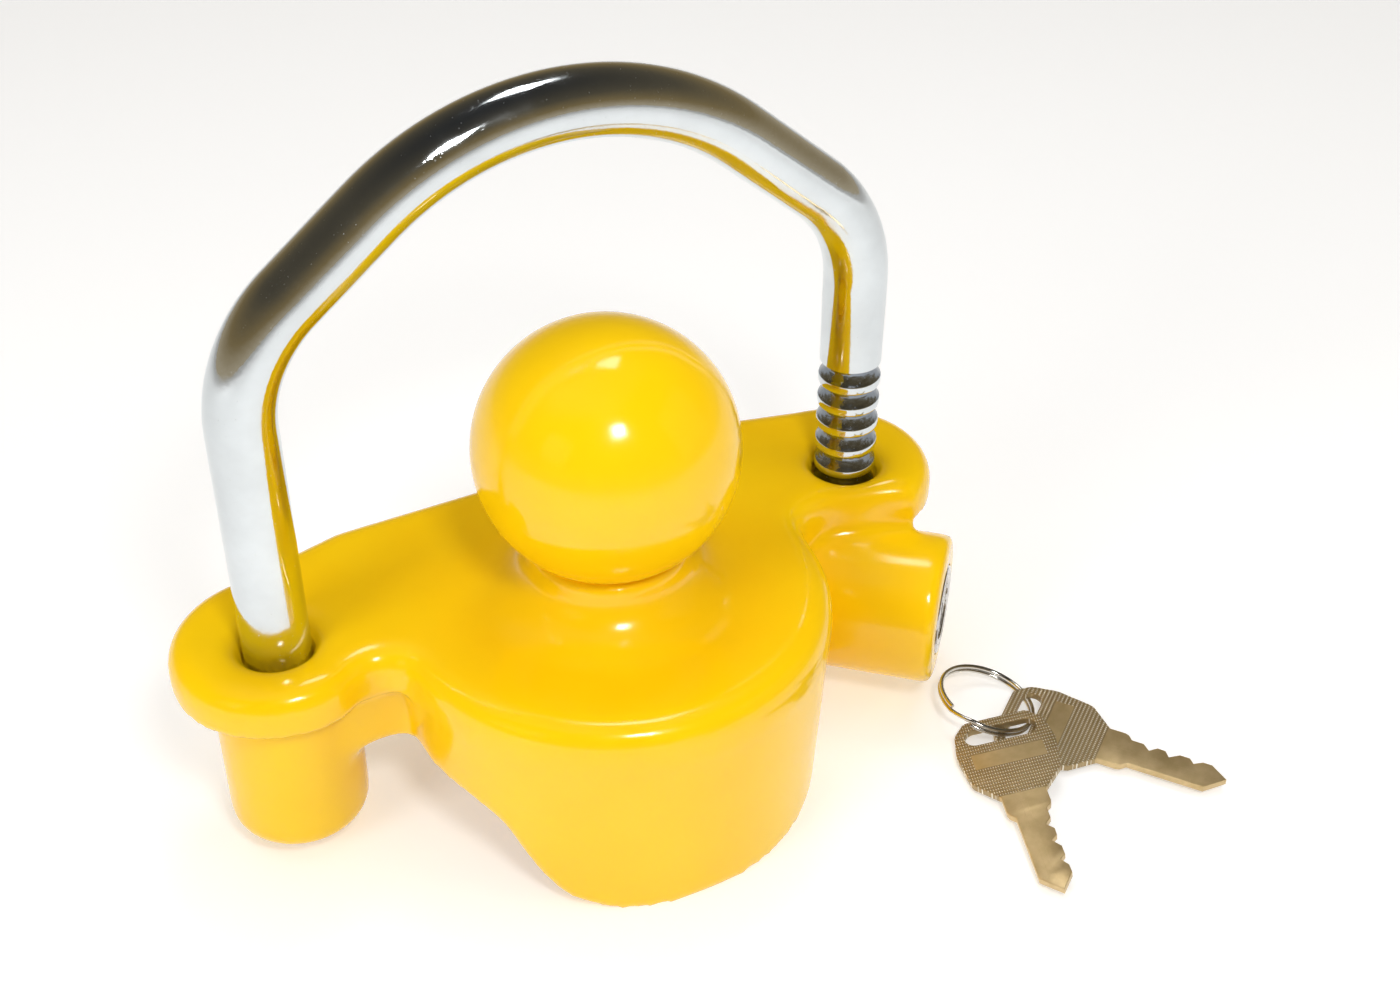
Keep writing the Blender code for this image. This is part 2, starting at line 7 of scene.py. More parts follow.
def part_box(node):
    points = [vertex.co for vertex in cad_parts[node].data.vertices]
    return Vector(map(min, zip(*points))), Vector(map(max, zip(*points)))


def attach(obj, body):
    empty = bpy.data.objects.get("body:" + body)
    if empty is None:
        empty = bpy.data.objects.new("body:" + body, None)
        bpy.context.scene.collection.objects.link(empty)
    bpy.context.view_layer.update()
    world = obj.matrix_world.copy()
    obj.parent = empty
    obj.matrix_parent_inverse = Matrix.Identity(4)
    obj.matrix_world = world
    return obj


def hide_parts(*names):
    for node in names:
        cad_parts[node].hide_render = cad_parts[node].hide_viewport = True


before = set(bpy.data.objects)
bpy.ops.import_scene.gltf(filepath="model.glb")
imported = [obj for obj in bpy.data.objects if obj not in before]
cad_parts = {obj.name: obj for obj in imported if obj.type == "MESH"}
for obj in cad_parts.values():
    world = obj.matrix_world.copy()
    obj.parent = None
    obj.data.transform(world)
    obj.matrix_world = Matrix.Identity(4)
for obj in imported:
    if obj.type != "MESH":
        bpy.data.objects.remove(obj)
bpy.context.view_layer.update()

# ---- Body casting ----
# One iron casting: a flat plate with two ears, a deep drum under its front, two sockets for the
# shackle's legs and a boss for the lock.  It is cored from below, ground smooth and enamelled yellow.
hoop_low, hoop_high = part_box("shackle")
CENTRE_X = (hoop_low[0] + hoop_high[0]) / 2
CENTRE_Y = (hoop_low[1] + hoop_high[1]) / 2
LEG_X = 59.1                    # mm, as are all the sizes below
PLATE_TOP = 44.6
PLATE_BOTTOM = 35.6
PLATE_EDGE_R = 4.6
PLATE_BACK_Y = 26.9
EAR_X, EAR_Y, EAR_R = 58.5, 2.3, 19.3
CEILING = 36.8
WEB_BOTTOM = 22.2
DRUM_Y = -14.5
DRUM_R = 40.5
RIM_R = 38.3
CORE_R, CORE_RIM_R = 36.5, 34.4
SOCKET_R = 6.5
LIP_R = 3.8
BOSS_R = 12.8
BOSS_FOOT = 3.6
BOSS_FOOT_R = 4.0
BALL_Y = DRUM_Y + 0.9
BALL_SEAT = 55.2
BALL_SCREW_R = 6.4
MOUND_R, MOUND_SPREAD, MOUND_RISE = 14.6, 12, 8.6
LOCK_HEADING = -43.0
LOCK_FACE = (68.0, -25.2, 20.1)
LOCK_BOSS_R = 15.0
BOLT_DEPTH = 23.6
HOUSING_PIN_DEPTH = 8.0
CASTING_VOXEL = 0.95


def at(x, y, z):
    """A point in mm from the table, under the middle of the line between the two sockets."""
    return Vector((CENTRE_X + x / 1000, CENTRE_Y + y / 1000, z / 1000))


def upright(x=0.0, y=0.0):
    """Axes that stand on the table at a place in mm."""
    return Matrix.Translation(at(x, y, 0))


def lock_axes(depth=0.0):
    """Z runs out of the lock's face, X towards the notched leg, Y up."""
    heading = math.radians(LOCK_HEADING)
    out = Vector((math.cos(heading), math.sin(heading), 0))
    across = Vector((-math.sin(heading), math.cos(heading), 0))
    turn = Matrix((across, Vector((0, 0, 1)), out)).transposed().to_4x4()
    return Matrix.Translation(at(*LOCK_FACE) - out * depth / 1000) @ turn


def deselect():
    if bpy.context.object and bpy.context.object.mode != "OBJECT":
        bpy.ops.object.mode_set(mode="OBJECT")
    bpy.ops.object.select_all(action="DESELECT")


def pick(obj):
    """Select one object alone and make it the active one."""
    deselect()
    obj.select_set(True)
    bpy.context.view_layer.objects.active = obj


def settle(obj, name=None):
    """Put an object's place into its mesh, so that its origin is the frame's."""
    pick(obj)
    bpy.ops.object.transform_apply(location=True, rotation=True, scale=True)
    if name:
        obj.name = name
    return obj


def apply_modifier(obj, kind, **settings):
    pick(obj)
    bpy.ops.object.modifier_add(type=kind)
    modifier = obj.modifiers[-1]
    for key, value in settings.items():
        setattr(modifier, key, value)
    bpy.ops.object.modifier_apply(modifier=modifier.name)


def weld(obj, reach=0.000003):
    """Merge doubled vertices and turn every face outwards."""
    pick(obj)
    bpy.ops.object.mode_set(mode="EDIT")
    bpy.ops.mesh.select_all(action="SELECT")
    bpy.ops.mesh.remove_doubles(threshold=reach)
    bpy.ops.mesh.normals_make_consistent(inside=False)
    bpy.ops.object.mode_set(mode="OBJECT")


def shade_smooth(obj, degrees):
    """Shade smooth across edges up to this angle."""
    pick(obj)
    bpy.ops.object.shade_smooth_by_angle(angle=math.radians(degrees))


def merge(target, other, operation="UNION"):
    """Join the other solid to the target, or cut it away, and delete it."""
    apply_modifier(target, "BOOLEAN", object=other, operation=operation, solver="EXACT")
    bpy.data.objects.remove(other, do_unlink=True)


def cylinder(radius, low, high, x=0.0, y=0.0, top_radius=None, sides=180):
    """An upright round bar from low to high, tapered if a top radius is given."""
    deselect()
    bpy.ops.mesh.primitive_cone_add(vertices=sides, radius1=radius / 1000,
                                    radius2=(top_radius or radius) / 1000,
                                    depth=(high - low) / 1000, location=at(x, y, (low + high) / 2))
    return settle(bpy.context.object)


def arc(centre, radius, start, end, step=3.0):
    """Points on a circle from one angle to another, in degrees."""
    count = max(2, int(abs(end - start) / step))
    angles = [math.radians(start + (end - start) * i / count) for i in range(count + 1)]
    return [(centre[0] + radius * math.cos(a), centre[1] + radius * math.sin(a)) for a in angles]


def smooth_through(knots, steps=8):
    """A smooth line through the inner knots; the outer two only steer its ends."""
    points = []
    for a, b, c, d in zip(knots, knots[1:], knots[2:], knots[3:]):
        for i in range(steps):
            t = i / steps
            weights = (-t**3 + 2 * t**2 - t, 3 * t**3 - 5 * t**2 + 2, -3 * t**3 + 4 * t**2 + t, t**3 - t**2)
            points.append(tuple(sum(w * p[k] for w, p in zip(weights, (a, b, c, d))) / 2 for k in (0, 1)))
    points.append(knots[-2])
    return points


def outline_slab(loops, low, high, matrix=None, edge=0.0, edge_steps=3):
    """Flat closed outlines, filled and thickened from low to high, with rounded edges if edge is given."""
    curve = bpy.data.curves.new("outline", "CURVE")
    curve.dimensions = "2D"
    curve.fill_mode = "BOTH"
    curve.extrude = ((high - low) / 2 - edge) / 1000
    curve.bevel_depth = edge / 1000
    curve.bevel_resolution = edge_steps
    curve.offset = -edge / 1000
    for loop in loops:
        spline = curve.splines.new("POLY")
        spline.points.add(len(loop) - 1)
        for point, (x, y) in zip(spline.points, loop):
            point.co = (x / 1000, y / 1000, 0, 1)
        spline.use_cyclic_u = True
    slab = bpy.data.objects.new("outline", curve)
    bpy.context.collection.objects.link(slab)
    pick(slab)
    bpy.ops.object.convert(target="MESH")
    slab = bpy.context.object
    weld(slab)
    slab.matrix_world = (matrix or upright()) @ Matrix.Translation((0, 0, (low + high) / 2000))
    return settle(slab)


def spun(name, profile, matrix, steps=96):
    """A profile of (radius, height) in mm, spun about the matrix's Z axis and closed."""
    mesh = bpy.data.meshes.new(name)
    points = [(r / 1000, 0, z / 1000) for r, z in profile]
    mesh.from_pydata(points, [(i, i + 1) for i in range(len(points) - 1)], [])
    made = bpy.data.objects.new(name, mesh)
    bpy.context.collection.objects.link(made)
    pick(made)
    bpy.ops.object.mode_set(mode="EDIT")
    bpy.ops.mesh.select_all(action="SELECT")
    bpy.ops.mesh.spin(steps=steps, angle=2 * math.pi, center=(0, 0, 0), axis=(0, 0, 1))
    bpy.ops.object.mode_set(mode="OBJECT")
    weld(made)
    made.matrix_world = matrix
    return settle(made, name)


def plate_outline():
    """Two round ears joined by a straight back, with a hollow between each ear and the drum."""
    left_notch = smooth_through([(-58, -18), (-53.2, -16.3), (-49.6, -14.0), (-45.5, -13.1), (-41.9, -15.0),
                                 (-40.3, -18.6), (-39.6, -24)])
    right_notch = smooth_through([(39.8, -24), (40.4, -17.4), (42.0, -12.6), (46.2, -10.2), (51.5, -10.0),
                                  (58.0, -12.0), (66.3, -15.3), (70, -13)])
    return (arc((EAR_X, EAR_Y), EAR_R, -66, 84) + [(39.0, PLATE_BACK_Y), (-39.0, PLATE_BACK_Y)]
            + arc((-EAR_X, EAR_Y), EAR_R, 96, 286) + left_notch[1:-1]
            + arc((0, DRUM_Y), DRUM_R, 187, 355)[1:] + right_notch[1:-1])


def cast_body():
    """Plate, drum, webs, sockets, boss and mound joined, then cored and flared at the socket mouths."""
    drum = cylinder(RIM_R, 0, CEILING + 2, y=DRUM_Y, top_radius=DRUM_R)
    left_web = [(-LEG_X, -11.4), (-20, -11.4), (-20, 22), (-LEG_X, 12)]
    right_web = [(20, -9.4), (LEG_X, -9.4), (LEG_X, 12), (20, 22)]
    merge(drum, outline_slab([left_web], WEB_BOTTOM, CEILING + 1))
    merge(drum, outline_slab([right_web], WEB_BOTTOM, CEILING + 1.2))
    # the rim sweeps up on the left in an S, so the front wall there ends at the web's underside
    sweep = smooth_through([(-8, 0), (-15, -0.4), (-20.1, 1.0), (-24.2, 2.9), (-27.4, 6.9), (-30.2, 12.6),
                            (-32.6, 18.0), (-36.0, 21.0), (-42, 22.0), (-50, 22.1), (-60, 22.1)])
    stand_up = upright() @ Matrix.Rotation(math.radians(90), 4, "X")
    swept_away = [(-15, -6)] + sweep[1:] + [(-64, 22.1), (-64, -6)]
    merge(drum, outline_slab([swept_away], -70, 60, stand_up), "DIFFERENCE")
    merge(drum, cylinder(CORE_RIM_R, -5, CEILING, y=DRUM_Y, top_radius=CORE_R), "DIFFERENCE")
    plate = outline_slab([plate_outline()], PLATE_BOTTOM - 6, PLATE_TOP, edge=PLATE_EDGE_R, edge_steps=8)
    below_plate = [(-90, -70), (90, -70), (90, 40), (-90, 40)]
    merge(plate, outline_slab([below_plate], 0, PLATE_BOTTOM), "DIFFERENCE")
    merge(drum, plate)
    foot = arc((BOSS_R - BOSS_FOOT_R, BOSS_FOOT + BOSS_FOOT_R), BOSS_FOOT_R, 0, -90, 15)
    socket = [(0, CEILING + 3), (BOSS_R, CEILING + 3)] + foot + [(0, BOSS_FOOT)]
    for side in (-1, 1):
        merge(drum, spun("socket", socket, upright(side * LEG_X), 120))
    lock_boss = [(0, 0), (LOCK_BOSS_R - 1.3, 0), (LOCK_BOSS_R - 0.38, -0.38), (LOCK_BOSS_R, -1.3),
                 (LOCK_BOSS_R, -31), (0, -31)]
    merge(drum, spun("boss", lock_boss, lock_axes(), 144))
    flank = []
    for degrees in range(12, 91, 6):
        angle = math.radians(degrees)
        flank.append((MOUND_R + MOUND_SPREAD * (1 - math.cos(angle)),
                      PLATE_TOP + MOUND_RISE * (1 - math.sin(angle))))
    mound = ([(0, BALL_SEAT - 0.3), (MOUND_R - 0.8, BALL_SEAT - 0.3), (MOUND_R, BALL_SEAT - 1.1)] + flank
             + [(MOUND_R + MOUND_SPREAD, PLATE_TOP - 2), (0, PLATE_TOP - 2)])
    merge(drum, spun("mound", mound, upright(0, BALL_Y), 120))
    merge(drum, cylinder(11, 22, CEILING + 2, y=BALL_Y, sides=64))
    lip = []
    for degrees in (80, 65, 50, 35, 20, 0):
        angle = math.radians(degrees)
        lip.append((SOCKET_R + LIP_R * (1 - math.cos(angle)), PLATE_TOP - LIP_R * (1 - math.sin(angle))))
    flare = [(0, PLATE_TOP + 1), (SOCKET_R + LIP_R + 2.4, PLATE_TOP + 1)] + lip + [(0, PLATE_TOP - LIP_R)]
    for side in (-1, 1):
        merge(drum, spun("flare", flare, upright(side * LEG_X), 90), "DIFFERENCE")
    return drum


def drill_body(body):
    """Bores for the legs, ball screw, lock, bolt and housing pin."""
    for side in (-1, 1):
        merge(body, cylinder(SOCKET_R, 0, PLATE_TOP + 1, x=side * LEG_X, sides=96), "DIFFERENCE")
    merge(body, cylinder(BALL_SCREW_R, 10, 60, y=BALL_Y, sides=64), "DIFFERENCE")
    lock_bore = [(0, 3), (9.3, 3), (9.3, -1.5), (8.5, -1.5), (8.5, -16.9), (3.6, -16.9), (3.6, -23.4),
                 (0, -23.4)]
    merge(body, spun("lock_bore", lock_bore, lock_axes(), 96), "DIFFERENCE")
    along_bolt = lock_axes(BOLT_DEPTH) @ Matrix.Rotation(math.radians(90), 4, "Y")
    bolt_bore = [(0, 30), (3.9, 30), (3.9, -13.0), (0, -13.0)]
    merge(body, spun("bolt_bore", bolt_bore, along_bolt, 64), "DIFFERENCE")
    pin_at = lock_axes(HOUSING_PIN_DEPTH).translation
    pin_bore = [(0, 14), (1.8, 14), (1.8, -5), (0, -5)]
    merge(body, spun("pin_bore", pin_bore, Matrix.Translation((pin_at.x, pin_at.y, 0)), 32), "DIFFERENCE")


def blend_corners(obj, centre, reach, passes):
    """Fill out the cast corner within reach of a point, by smoothing the vertices there."""
    pick(obj)
    group = obj.vertex_groups.new(name="corner")
    for vertex in obj.data.vertices:
        weight = 1 - (vertex.co - centre).length * 1000 / reach
        if weight > 0:
            group.add([vertex.index], min(1.0, 2 * weight), "REPLACE")
    apply_modifier(obj, "SMOOTH", factor=0.5, iterations=passes, vertex_group="corner")
    obj.vertex_groups.clear()


# the corners between plate, webs and bosses: place, reach, and passes of smoothing
CAST_CORNERS = [((48, -13, 33), 13, 30), ((40, -17, 24), 12, 30), ((60, -14, 33), 11, 24),
                ((54, -12, 41), 11, 16), ((-47.5, -11.5, 23), 9, 45), ((-41, -15, 30), 9, 16)]
casting = cast_body()
casting.name = "casting"
apply_modifier(casting, "REMESH", mode="VOXEL", voxel_size=CASTING_VOXEL / 1000)
for corner, reach, passes in CAST_CORNERS:
    blend_corners(casting, at(*corner), reach, passes)
apply_modifier(casting, "SMOOTH", factor=0.5, iterations=7)
drill_body(casting)
shade_smooth(casting, 50)


def new_material(name):
    """A material with its node tree, its shader, and object coordinates to feed the textures."""
    made = bpy.data.materials.new(name)
    made.use_nodes = True
    tree = made.node_tree
    return made, tree, tree.nodes["Principled BSDF"], tree.nodes.new("ShaderNodeTexCoord").outputs["Object"]


def add_node(tree, kind, values=None, **settings):
    made = tree.nodes.new("ShaderNode" + kind)
    for key, value in settings.items():
        setattr(made, key, value)
    for key, value in (values or {}).items():
        if hasattr(value, "is_linked"):
            tree.links.new(value, made.inputs[key])
        else:
            made.inputs[key].default_value = value
    return made


def noise(tree, place, scale, detail=2.0, rough=0.5):
    values = {"Vector": place, "Scale": scale, "Detail": detail, "Roughness": rough}
    return add_node(tree, "TexNoise", values).outputs["Fac"]


def mixed(tree, factor, first, second, **settings):
    made = add_node(tree, "Mix", {"Factor": factor, "A": first, "B": second}, data_type="RGBA", **settings)
    return made.outputs["Result"]


def bumped(tree, height, strength, distance, under=None):
    """A bump with its distance in metres, laid over another one if given."""
    values = {"Height": height, "Strength": strength, "Distance": distance}
    if under is not None:
        values["Normal"] = under
    return add_node(tree, "Bump", values).outputs["Normal"]


def set_finish(tree, shader, colour, roughness, normal, metallic=0.0):
    for socket, source in (("Base Color", colour), ("Roughness", roughness), ("Normal", normal)):
        tree.links.new(source, shader.inputs[socket])
    shader.inputs["Metallic"].default_value = metallic


def ramp(tree, fac, stops):
    """A colour ramp from (position, colour) stops."""
    made = add_node(tree, "ValToRGB", {"Fac": fac})
    elements = made.color_ramp.elements
    while len(elements) < len(stops):
        elements.new(0.5)
    for element, (position, colour) in zip(elements, stops):
        element.position = position
        element.color = (*colour, 1) if len(colour) == 3 else colour
    return made.outputs["Color"]


def grey(value):
    return (value, value, value)


def enamel():
    """Thick yellow enamel: slightly uneven gloss, soft orange peel, and painted shade that turns it browner
    at sharp edges.
    """
    made, tree, shader, place = new_material("yellow_enamel")
    cloud = noise(tree, place, 35, 3)
    paint = ramp(tree, cloud, [(0.3, (0.93, 0.56, 0.002)), (0.7, (0.96, 0.61, 0.003))])
    edge = add_node(tree, "NewGeometry").outputs["Pointiness"]
    # painted shade: sharp edges are mixed towards a browner orange
    edge_shade = ramp(tree, edge, [(0.53, grey(0)), (0.62, grey(0.35))])
    colour = mixed(tree, edge_shade, paint, (0.80, 0.36, 0.01, 1))
    gloss = ramp(tree, noise(tree, place, 90), [(0.3, grey(0.10)), (0.7, grey(0.18))])
    sags = bumped(tree, noise(tree, place, 60, 1), 0.06, 0.001)
    peel = bumped(tree, noise(tree, place, 260), 0.04, 0.0005, sags)
    set_finish(tree, shader, colour, gloss, peel)
    return made


YELLOW = enamel()
casting.data.materials.clear()
casting.data.materials.append(YELLOW)
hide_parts("body_casting")
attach(casting, "casting")

# ---- Ball ----
# A turned steel ball with a flat seat, enamelled with the body, held by a cap screw from under the drum.
BALL_R = 23.75
BALL_Z = 74.6
deselect()
bpy.ops.mesh.primitive_uv_sphere_add(segments=160, ring_count=96, radius=BALL_R / 1000,
                                     location=at(0, BALL_Y, BALL_Z))
ball = settle(bpy.context.object, "ball")
bpy.ops.object.mode_set(mode="EDIT")
bpy.ops.mesh.select_all(action="SELECT")
bpy.ops.mesh.bisect(plane_co=at(0, 0, BALL_SEAT + 0.1), plane_no=(0, 0, -1), clear_outer=True,
                    use_fill=True)
bpy.ops.object.mode_set(mode="OBJECT")
shade_smooth(ball, 40)
ball.data.materials.append(YELLOW)
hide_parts("hitch_ball")
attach(ball, "casting")


# ---- Shackle ----
# A hardened round bar, bent to a hoop and chromed.  Ring notches are turned into its right leg, and the
# plating between the lands is rougher and more pitted there, and painted dark as shade.
ROD_R = 6.1
BEND_R = 27.7
CROWN_R = 53.0
CROWN_X, CROWN_Z = -1.2, 80.5
LEG_END = 12.0
NOTCH_TOP = 68.3
NOTCH_PITCH = 4.94
NOTCH_COUNT = 11
NOTCH_DEPTH = 1.2
FLOOR_WIDTH = 1 - NOTCH_DEPTH / ROD_R
NOTCH_RADIUS_LIMIT = 0.985 * ROD_R
LEFT_SLANT, RIGHT_SLANT = 52.2, 49.6


def hoop_side(sign, slant):
    """Half of the bar's line in x and z, from the top of the crown to where the leg runs straight down."""
    turn = math.radians(slant)
    half = [(sign * CROWN_X + x, CROWN_Z + z) for x, z in arc((0, 0), CROWN_R, 90, slant, 2)]
    straight = (LEG_X - BEND_R * (1 - math.cos(turn)) - half[-1][0]) / math.sin(turn)
    bend_z = half[-1][1] - straight * math.cos(turn) - BEND_R * math.sin(turn)
    half += arc((LEG_X - BEND_R, bend_z), BEND_R, slant, 0, 2)
    return [(sign * x, z) for x, z in half]


def wire(name, path, radius, widths=None, rounding=8):
    """A round bar or wire along a path in mm, with a width factor at each point if given."""
    curve = bpy.data.curves.new(name, "CURVE")
    curve.dimensions = "3D"
    curve.bevel_depth = radius / 1000
    curve.bevel_resolution = rounding
    curve.use_fill_caps = True
    spline = curve.splines.new("POLY")
    spline.points.add(len(path) - 1)
    for point, place, width in zip(spline.points, path, widths or [1.0] * len(path)):
        point.co = (*at(*place), 1)
        point.radius = width
    made = bpy.data.objects.new(name, curve)
    bpy.context.collection.objects.link(made)
    pick(made)
    bpy.ops.object.convert(target="MESH")
    made = bpy.context.object
    weld(made, reach=0.000002)
    return settle(made, name)


# each notch going down: a steep shoulder, a narrow floor, a long cone and a land, as drop and width factor
NOTCH_SHAPE = [(0.0, 0.985), (0.1, 0.97), (0.38, FLOOR_WIDTH + 0.01), (0.5, FLOOR_WIDTH),
               (1.05, FLOOR_WIDTH), (1.45, FLOOR_WIDTH + 0.01), (3.1, 0.97), (3.28, 0.99),
               (3.5, 1.0), (4.6, 1.0)]
bar_path = list(reversed(hoop_side(-1, LEFT_SLANT))) + hoop_side(1, RIGHT_SLANT)[1:]
bar_path = [(-LEG_X, LEG_END), (-LEG_X, LEG_END + 1.2)] + bar_path
bar_widths = [FLOOR_WIDTH] + [1.0] * (len(bar_path) - 1)
for number in range(NOTCH_COUNT):
    for drop, width in NOTCH_SHAPE:
        bar_path.append((LEG_X, NOTCH_TOP - number * NOTCH_PITCH - drop))
        bar_widths.append(width)
bar_path += [(LEG_X, LEG_END + 1.2), (LEG_X, LEG_END)]
bar_widths += [1.0, FLOOR_WIDTH]
shackle = wire("shackle_bar", [(x, 0, z) for x, z in bar_path], ROD_R, bar_widths, rounding=16)
shade_smooth(shackle, 28)


def plating(name, tint, gloss, speckle=0.3, pits=0.03):
    """Bright plating with cloudy gloss, fine pits and a few rough specks."""
    made, tree, shader, place = new_material(name)
    cloud = noise(tree, place, 60, 4, 0.6)
    colour = ramp(tree, cloud, [(0.3, tuple(0.86 * c for c in tint)), (0.7, tint)])
    dots = add_node(tree, "TexVoronoi", {"Vector": place, "Scale": 900.0}).outputs["Distance"]
    specks = ramp(tree, dots, [(0.0, grey(speckle)), (0.16, grey(0))])
    haze = ramp(tree, noise(tree, place, 140, 3), [(0.35, grey(gloss)), (0.75, grey(gloss + 0.10))])
    roughness = mixed(tree, 1.0, haze, specks, blend_type="ADD")
    pitting = bumped(tree, dots, pits, 0.0002)
    waves = bumped(tree, noise(tree, place, 45, 1), 0.04, 0.0005, pitting)
    set_finish(tree, shader, colour, roughness, waves, metallic=1.0)
    return made


CHROME = plating("hoop_chrome", (0.72, 0.76, 0.78), 0.05)
# the dark tint between the lands is painted shade; the rougher gloss and heavier pits are the plating's own
NOTCH_SHADE_CHROME = plating("notch_chrome_painted_shade", (0.26, 0.29, 0.33), 0.14, speckle=0.5, pits=0.3)
shackle.data.materials.append(CHROME)
shackle.data.materials.append(NOTCH_SHADE_CHROME)
# faces inside the lands of the notched leg take the painted shade
for face in shackle.data.polygons:
    offset = (face.center - at(LEG_X, 0, 0)) * 1000
    inside_lands = math.hypot(offset.x, offset.y) < NOTCH_RADIUS_LIMIT
    on_notched_leg = offset.z < NOTCH_TOP + 0.1 and offset.length < 80
    if inside_lands and on_notched_leg:
        face.material_index = 1
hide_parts("shackle")
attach(shackle, "hoop")


# ---- Lock face ----
# A chromed zinc sleeve pinned in the boss.  Its face has a raised rim and a dished ring where dirt collects,
# round a plug with an upright keyway.  The plating is a little pitted on both.
SLEEVE_PROFILE = [(6.35, -13.0), (6.35, -1.0), (6.5, 0.0), (6.7, 0.22), (7.0, 0.25), (7.15, 0.1),
                  (7.3, -0.15), (7.75, -0.15), (7.9, 0.1), (8.1, 0.3), (8.6, 0.3), (8.9, 0.1),
                  (9.0, -0.25), (9.0, -1.2), (8.2, -1.3), (8.2, -13.0), (6.35, -13.0)]
PLUG_PROFILE = [(0, -0.12), (3.9, -0.12), (4.05, -0.3), (4.35, -0.3), (4.5, -0.1), (5.6, -0.1),
                (5.9, -0.35), (6.0, -0.6), (6.0, -13.5), (0, -13.5)]
KEYWAY = [(-0.75, -3.9), (0.75, -3.9), (0.75, -0.9), (1.25, -0.9), (1.25, 0.9), (0.75, 0.9),
          (0.75, 3.9), (-0.75, 3.9)]
sleeve = spun("lock_sleeve", SLEEVE_PROFILE, lock_axes(), 128)
shade_smooth(sleeve, 50)
FACE_CHROME = plating("lock_face_chrome", (0.70, 0.69, 0.68), 0.12, speckle=0.4, pits=0.4)
sleeve.data.materials.append(FACE_CHROME)
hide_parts("lock_housing")
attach(sleeve, "casting")

plug = spun("plug", PLUG_PROFILE, lock_axes(), 128)
merge(plug, outline_slab([KEYWAY], -12.5, 2, lock_axes()), "DIFFERENCE")
shade_smooth(plug, 40)
plug.data.materials.append(FACE_CHROME)
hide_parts("lock_plug")
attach(plug, "plug")


# ---- Keys ----
# Two stamped keys of nickelled brass.  The heads are coined with a fine hatch round a smooth bar, and the
# blades have a milled groove and cuts on one edge.
KEY_THICK = 1.5
SLOT_X, SLOT_Y, SLOT_R = 5.2, -4.3, 2.0
HATCH_END = -20.5
BAR_Y, BAR_HALF_WIDTH, BAR_HALF_LENGTH = -10.7, 1.9, 7.2
GROOVE_X, GROOVE_HALF_WIDTH, GROOVE_START = -0.6, 0.6, -22.5
# each key's place, heading, tilt and roll, and its body
KEY_PLACES = {
    "key_1": ((70.34, -42.74, 2.81), -19.97, 1.57, -10.49, "key_a"),
    "key_2": ((73.56, -41.09, 1.47), 35.65, 0.02, -4.49, "key_b"),
}


def key_axes(spot, heading, tilt, roll):
    """Z out of a key's upper face, -Y from its head end to its tip."""
    turn = (Matrix.Rotation(math.radians(heading), 4, "Z") @ Matrix.Rotation(math.radians(tilt), 4, "X")
            @ Matrix.Rotation(math.radians(roll), 4, "Y"))
    return Matrix.Translation(at(*spot)) @ turn


def key_outline():
    """A broad head, and a blade with three cuts down one edge and a pointed tip."""
    head = [(-4.4, -20.8), (-8.6, -16.3), (-9.0, -15.2), (-9.9, -8.6), (-9.8, -7.4), (-9.1, -3.4),
            (-8.7, -2.6), (-6.8, -0.4), (-6.0, 0.0), (6.0, 0.0), (6.8, -0.4), (8.7, -2.6), (9.1, -3.4),
            (9.8, -7.4), (9.9, -8.6), (9.0, -15.2), (8.6, -16.3), (4.4, -20.8)]
    cuts = [(4.4, -24.0), (4.1, -24.8), (3.1, -25.6), (3.1, -28.0), (1.8, -29.4), (3.1, -30.8),
            (3.0, -32.4), (1.7, -33.4), (3.1, -35.2), (3.1, -37.2), (2.0, -38.2), (3.1, -39.8), (3.1, -41.6)]
    return head + cuts + [(0.6, -45.0), (-3.1, -41.4), (-3.1, -26.4), (-4.1, -25.4), (-4.4, -24.6)]


def maths(tree, operation, *values):
    return add_node(tree, "Math", dict(enumerate(values)), operation=operation).outputs[0]


def bands(tree, place, scale, direction):
    values = {"Vector": place, "Scale": scale}
    return add_node(tree, "TexWave", values, wave_type="BANDS", bands_direction=direction).outputs["Fac"]


